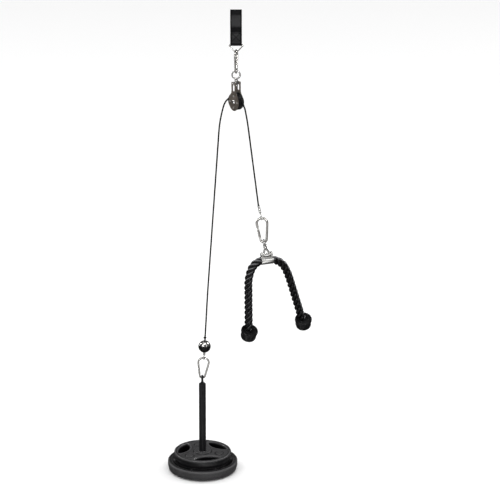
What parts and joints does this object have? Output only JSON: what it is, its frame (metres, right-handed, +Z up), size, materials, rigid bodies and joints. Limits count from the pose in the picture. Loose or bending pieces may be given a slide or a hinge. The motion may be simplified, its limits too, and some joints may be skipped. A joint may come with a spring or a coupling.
{
  "type": "shoulder pulley",
  "caption": "Hanging cable pulley set: webbing strap, snap hooks, swivel block, coated cable, loading pin with grip plates on one end and a twisted rope handle on the other.",
  "frame": {"origin": "on the axis of the bar that the strap loops over, in the middle of the strap's width", "axes": "+X along the bar, +Y away from the viewer, +Z up; the set hangs along -Z"},
  "size_m": [0.6153, 0.4699, 2.1117],
  "materials": {
    "webbing": "woven nylon, satin",
    "thread": "bonded nylon thread",
    "chrome_wire": "bright nickel plate",
    "spring_steel": "bare",
    "stainless": "brushed, bright edges",
    "bright_steel": "polished",
    "bearing_steel": "ground",
    "wheel_nylon": "moulded nylon, satin",
    "cable_coat": "extruded coating, satin",
    "stop_rubber": "moulded, satin",
    "bare_wire": "stranded",
    "pin_paint": "black powder coat, semi-gloss",
    "plate_rubber": "moulded, fine grain",
    "rope_nylon": "three-strand twisted, satin"
  },
  "bodies": {
    "hanger": {"strap_webbing": "webbing", "strap_tab": "webbing", "strap_stitching": "thread"},
    "delta_ring": {"delta_ring": "chrome_wire"},
    "top_hook": {"top_hook": "chrome_wire", "top_hook_pin": "bright_steel"},
    "top_hook_gate": {"top_hook_gate": "chrome_wire", "top_hook_spring": "spring_steel"},
    "swivel_eye": {"swivel_eye": "bright_steel", "swivel_washer": "bright_steel", "swivel_nut": "bright_steel"},
    "block": {"cheek_front": "stainless", "cheek_rear": "stainless", "crosshead": "bright_steel", "axle_bolt": "bright_steel", "axle_nut": "bright_steel", "axle_spacers": "bearing_steel", "bearing_inner_ring": "bearing_steel", "cable_bend": "cable_coat", "cable_weight_run": "cable_coat", "cable_handle_run": "cable_coat"},
    "wheel": {"pulley_wheel": "wheel_nylon", "bearing_outer_ring": "bearing_steel", "bearing_balls": "bearing_steel"},
    "weight_end": {"weight_cable_tail": "cable_coat", "stop_collar": "stop_rubber", "ball_stop": "stop_rubber", "ball_cap": "bright_steel", "weight_ferrule": "bright_steel", "weight_eye": "bare_wire"},
    "weight_hook": {"weight_hook": "chrome_wire", "weight_hook_pin": "bright_steel"},
    "weight_hook_gate": {"weight_hook_gate": "chrome_wire", "weight_hook_spring": "spring_steel"},
    "loading_pin": {"pin_eye_bolt": "pin_paint", "pin_cap": "pin_paint", "pin_tube": "pin_paint", "pin_base": "pin_paint"},
    "lower_plate": {"lower_plate": "plate_rubber", "lower_plate_bush": "bearing_steel"},
    "upper_plate": {"upper_plate": "plate_rubber", "upper_plate_bush": "bearing_steel"},
    "handle_end": {"handle_ferrule": "bright_steel", "handle_eye": "bare_wire"},
    "handle_hook": {"handle_hook": "chrome_wire", "handle_hook_pin": "bright_steel"},
    "handle_hook_gate": {"handle_hook_gate": "chrome_wire", "handle_hook_spring": "spring_steel"},
    "rope_bail": {"rope_bail": "bright_steel"},
    "rope_bracket": {"sleeve_bracket": "bright_steel", "cross_bolt": "bright_steel", "cross_nut": "bright_steel", "rope_core": "rope_nylon"},
    "rope_left": {"rope_left": "rope_nylon", "end_stop_left": "stop_rubber"},
    "rope_right": {"rope_right": "rope_nylon", "end_stop_right": "stop_rubber"}
  },
  "joints": [
    {"name": "ring_swing", "type": "hinge", "parent": "hanger", "child": "delta_ring", "pos_m": [0, 0, -0.1335], "axis": [1, 0, 0], "range_deg": [-30, 30]},
    {"name": "top_hook_swing", "type": "hinge", "parent": "delta_ring", "child": "top_hook", "pos_m": [0, 0, -0.1587], "axis": [0.2079, 0.9781, 0], "range_deg": [-25, 25]},
    {"name": "top_hook_gate_open", "type": "hinge", "parent": "top_hook", "child": "top_hook_gate", "pos_m": [-0.00251, -0.01183, -0.24091], "axis": [-0.9781, 0.2079, 0], "range_deg": [0, 22], "stiffness_Nm_per_rad": 0.6},
    {"name": "eye_swing", "type": "hinge", "parent": "top_hook", "child": "swivel_eye", "pos_m": [0, 0, -0.24735], "axis": [1, 0, 0], "range_deg": [-25, 25]},
    {"name": "block_swivel", "type": "hinge", "parent": "swivel_eye", "child": "block", "pos_m": [0, 0, -0.2945], "axis": [0, 0, 1], "continuous": true},
    {"name": "wheel_spin", "type": "hinge", "parent": "block", "child": "wheel", "pos_m": [0, 0, -0.378], "axis": [0.7071, 0.7071, 0], "continuous": true},
    {"name": "weight_lift", "type": "slide", "parent": "block", "child": "weight_end", "axis": [0, 0, 1], "range_m": [-0.005, 0.55], "deforming": ["cable_weight_run"]},
    {"name": "handle_pull", "type": "slide", "parent": "block", "child": "handle_end", "axis": [0, 0, -1], "range_m": [-0.005, 0.55], "deforming": ["cable_handle_run"]},
    {"name": "weight_hook_swing", "type": "hinge", "parent": "weight_end", "child": "weight_hook", "pos_m": [-0.13951, 0.13951, -1.576], "axis": [0.9961, 0.0078, -0.0881], "range_deg": [-20, 20]},
    {"name": "weight_hook_gate_open", "type": "hinge", "parent": "weight_hook", "child": "weight_hook_gate", "pos_m": [-0.15883, 0.14669, -1.6565], "axis": [0, 0.9961, 0.0888], "range_deg": [0, 22], "stiffness_Nm_per_rad": 0.6},
    {"name": "pin_swing", "type": "hinge", "parent": "weight_hook", "child": "loading_pin", "pos_m": [-0.14722, 0.14722, -1.66252], "axis": [0, 1, 0], "range_deg": [-15, 15]},
    {"name": "lower_plate_slide", "type": "slide", "parent": "loading_pin", "child": "lower_plate", "axis": [0, 0, 1], "range_m": [0, 0.12]},
    {"name": "upper_plate_slide", "type": "slide", "parent": "lower_plate", "child": "upper_plate", "axis": [0, 0, 1], "range_m": [0, 0.14]},
    {"name": "handle_hook_swing", "type": "hinge", "parent": "handle_end", "child": "handle_hook", "pos_m": [0.105, -0.0986, -0.857], "axis": [0.995, 0.0052, 0.0997], "range_deg": [-20, 20]},
    {"name": "handle_hook_gate_open", "type": "hinge", "parent": "handle_hook", "child": "handle_hook_gate", "pos_m": [0.1003, -0.10321, -0.94611], "axis": [0, 0.9987, -0.0516], "range_deg": [0, 22], "stiffness_Nm_per_rad": 0.6},
    {"name": "bail_swing", "type": "hinge", "parent": "handle_hook", "child": "rope_bail", "pos_m": [0.11456, -0.10351, -0.9521], "axis": [0, 0.9999, 0.0145], "range_deg": [-20, 20]},
    {"name": "bracket_tilt", "type": "hinge", "parent": "rope_bail", "child": "rope_bracket", "pos_m": [0.127, -0.1026, -1.015], "axis": [0.9397, 0.342, 0], "range_deg": [-30, 30]},
    {"name": "rope_left_spread", "type": "hinge", "parent": "rope_bracket", "child": "rope_left", "pos_m": [0.1021, -0.11166, -1.041], "axis": [-0.342, 0.9397, 0], "range_deg": [-8, 30]},
    {"name": "rope_right_spread", "type": "hinge", "parent": "rope_bracket", "child": "rope_right", "pos_m": [0.1519, -0.09354, -1.041], "axis": [0.342, -0.9397, 0], "range_deg": [-5, 25]}
  ],
  "couplings": [
    {"joint": "handle_pull", "follows": "weight_lift", "ratio": 1},
    {"joint": "wheel_spin", "follows": "weight_lift", "rad_per_m": 33.333}
  ]
}
